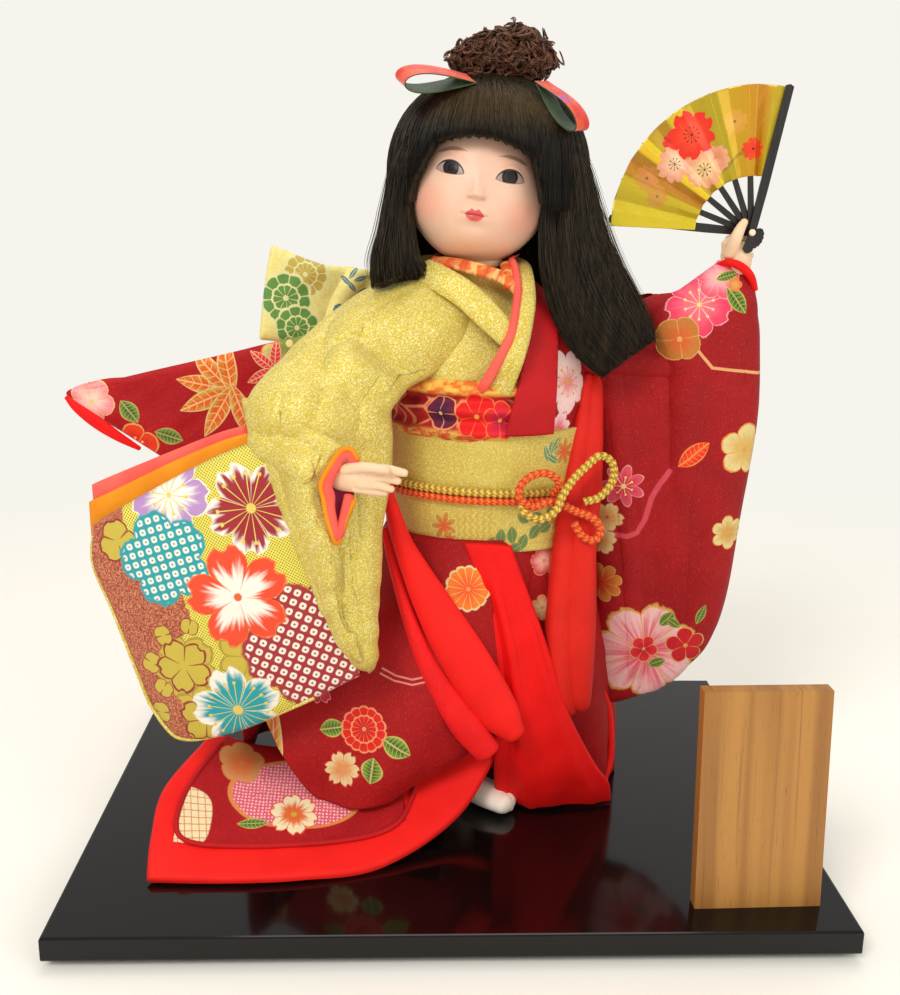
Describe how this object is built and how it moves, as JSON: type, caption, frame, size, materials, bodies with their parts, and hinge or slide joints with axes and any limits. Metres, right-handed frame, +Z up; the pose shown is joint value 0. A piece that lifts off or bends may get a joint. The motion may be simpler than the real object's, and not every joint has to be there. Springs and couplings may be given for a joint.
{
  "type": "ichimatsu doll",
  "caption": "Dancing ichimatsu doll in layered kimono on a black board, with a turning head, a folding fan in the raised hand and a lift-off wooden plaque.",
  "frame": {"origin": "centre of the stand's flat underside, at the level it stands on", "axes": "+Z up, +Y away from the viewer and behind the doll, +X to the viewer's right; the doll faces -Y"},
  "size_m": [0.3911, 0.275, 0.4185],
  "materials": {
    "lacquer": "black gloss lacquer on wood",
    "plaque_wood": "bare straight-grained wood, lightly waxed",
    "steel": "plain drawn wire",
    "straw_core": "bound straw and paper wrapping, inside the clothes",
    "tabi_cloth": "white cotton sock over a plaster foot",
    "plaster_skin": "matt painted plaster, pale peach with pink cheeks",
    "eye_glass": "dark brown inset glass eye",
    "hair": "straight silk hair, brown black",
    "curled_hair": "stiff curled hair, dark brown",
    "ribbon": "printed ribbon, orange outside and green inside",
    "gold_cloth": "woven metallic gold cloth, crinkled sheen",
    "flower_brocade": "gold ground brocade with common cherry, plum and tie-dye motifs",
    "orange_lining": "plain orange lining",
    "pink_lining": "plain coral pink lining",
    "collar_cloth": "orange and cream woven collar cloth",
    "scarf_cloth": "crimson scarf with gold and orange woven flowers",
    "red_crepe": "deep crimson silk crepe with common flower motifs",
    "red_lining": "bright red silk lining with a low sheen",
    "obi_brocade": "cream gold brocade with green leaves and orange flowers",
    "gold_cord": "braided gold cord",
    "orange_cord": "braided orange cord",
    "fan_foil": "gold foil paper with a simple cherry blossom print",
    "fan_sticks": "black lacquered sticks",
    "rivet": "cream rivet"
  },
  "bodies": {
    "doll": {"stand_rod": "steel", "base_plinth": "lacquer", "base_board": "lacquer", "body_core": "straw_core", "leg_right": "tabi_cloth", "leg_left": "tabi_cloth", "arm_right": "straw_core", "arm_left": "straw_core", "fan_guard_front": "fan_sticks", "fan_leaf": "fan_foil", "fan_rivet": "rivet", "hand_right": "plaster_skin", "hand_left": "plaster_skin", "gold_bodice": "gold_cloth", "gold_collar_right": "gold_cloth", "inner_collar": "collar_cloth", "pink_collar": "pink_lining", "gold_collar_left": "gold_cloth", "obi": "obi_brocade", "waist_folds": "scarf_cloth", "red_collar": "red_crepe", "red_bodice": "red_crepe", "obi_cord_gold": "gold_cord", "obi_cord_orange": "orange_cord", "cord_bow_gold": "gold_cord", "cord_bow_orange": "orange_cord", "sash_wrap": "obi_brocade", "sash_wings": "obi_brocade", "red_sleeve": "red_crepe", "red_sleeve_lining": "red_lining", "cuff_lining": "pink_lining", "gold_sleeve": "gold_cloth", "gold_sleeve_bag": "flower_brocade", "orange_inner_sleeve": "orange_lining", "pink_inner_sleeve": "pink_lining", "slipped_sleeve": "red_crepe", "flap_roll": "red_lining", "flap_piping": "red_lining", "skirt_left": "red_crepe", "lining_panel": "red_lining", "skirt_right": "red_crepe", "train": "red_lining", "hair_side_right": "hair", "hair_side_left": "hair", "hair_back": "hair"},
    "head": {"head": "plaster_skin", "eye_right": "eye_glass", "eye_left": "eye_glass", "wig_crown": "hair", "hair_fringe": "hair", "curl_hairpiece": "curled_hair", "ribbon_right": "ribbon", "ribbon_left": "ribbon"},
    "plaque": {"name_plaque": "plaque_wood"},
    "fan_rib_1": {"fan_rib_1": "fan_sticks"},
    "fan_rib_2": {"fan_rib_2": "fan_sticks"},
    "fan_rib_3": {"fan_rib_3": "fan_sticks"},
    "fan_rib_4": {"fan_rib_4": "fan_sticks"},
    "fan_rib_5": {"fan_rib_5": "fan_sticks"},
    "fan_guard_back": {"fan_guard_back": "fan_sticks"}
  },
  "joints": [
    {"name": "head_turn", "type": "hinge", "parent": "doll", "child": "head", "pos_m": [0.01, 0, 0.278], "axis": [0, 0, 1], "range_deg": [-15, 15], "deforming": ["hair_side_right", "hair_side_left", "hair_back"]},
    {"name": "plaque_lift", "type": "slide", "parent": "doll", "child": "plaque", "axis": [0, 0, 1], "range_m": [0, 0.12]},
    {"name": "fan_fold_1", "type": "hinge", "parent": "doll", "child": "fan_rib_1", "pos_m": [0.1444, -0.017, 0.3221], "axis": [0, 1, 0], "range_deg": [0, 16], "deforming": ["fan_leaf"]},
    {"name": "fan_fold_2", "type": "hinge", "parent": "fan_rib_1", "child": "fan_rib_2", "pos_m": [0.1444, -0.017, 0.3221], "axis": [0, 1, 0], "range_deg": [0, 16], "deforming": ["fan_leaf"]},
    {"name": "fan_fold_3", "type": "hinge", "parent": "fan_rib_2", "child": "fan_rib_3", "pos_m": [0.1444, -0.017, 0.3221], "axis": [0, 1, 0], "range_deg": [0, 16], "deforming": ["fan_leaf"]},
    {"name": "fan_fold_4", "type": "hinge", "parent": "fan_rib_3", "child": "fan_rib_4", "pos_m": [0.1444, -0.017, 0.3221], "axis": [0, 1, 0], "range_deg": [0, 16], "deforming": ["fan_leaf"]},
    {"name": "fan_fold_5", "type": "hinge", "parent": "fan_rib_4", "child": "fan_rib_5", "pos_m": [0.1444, -0.017, 0.3221], "axis": [0, 1, 0], "range_deg": [0, 16], "deforming": ["fan_leaf"]},
    {"name": "fan_fold_6", "type": "hinge", "parent": "fan_rib_5", "child": "fan_guard_back", "pos_m": [0.1444, -0.017, 0.3221], "axis": [0, 1, 0], "range_deg": [0, 16], "deforming": ["fan_leaf"]}
  ],
  "couplings": [
    {"joint": "fan_fold_2", "follows": "fan_fold_1", "ratio": 1},
    {"joint": "fan_fold_3", "follows": "fan_fold_1", "ratio": 1},
    {"joint": "fan_fold_4", "follows": "fan_fold_1", "ratio": 1},
    {"joint": "fan_fold_5", "follows": "fan_fold_1", "ratio": 1},
    {"joint": "fan_fold_6", "follows": "fan_fold_1", "ratio": 1}
  ]
}
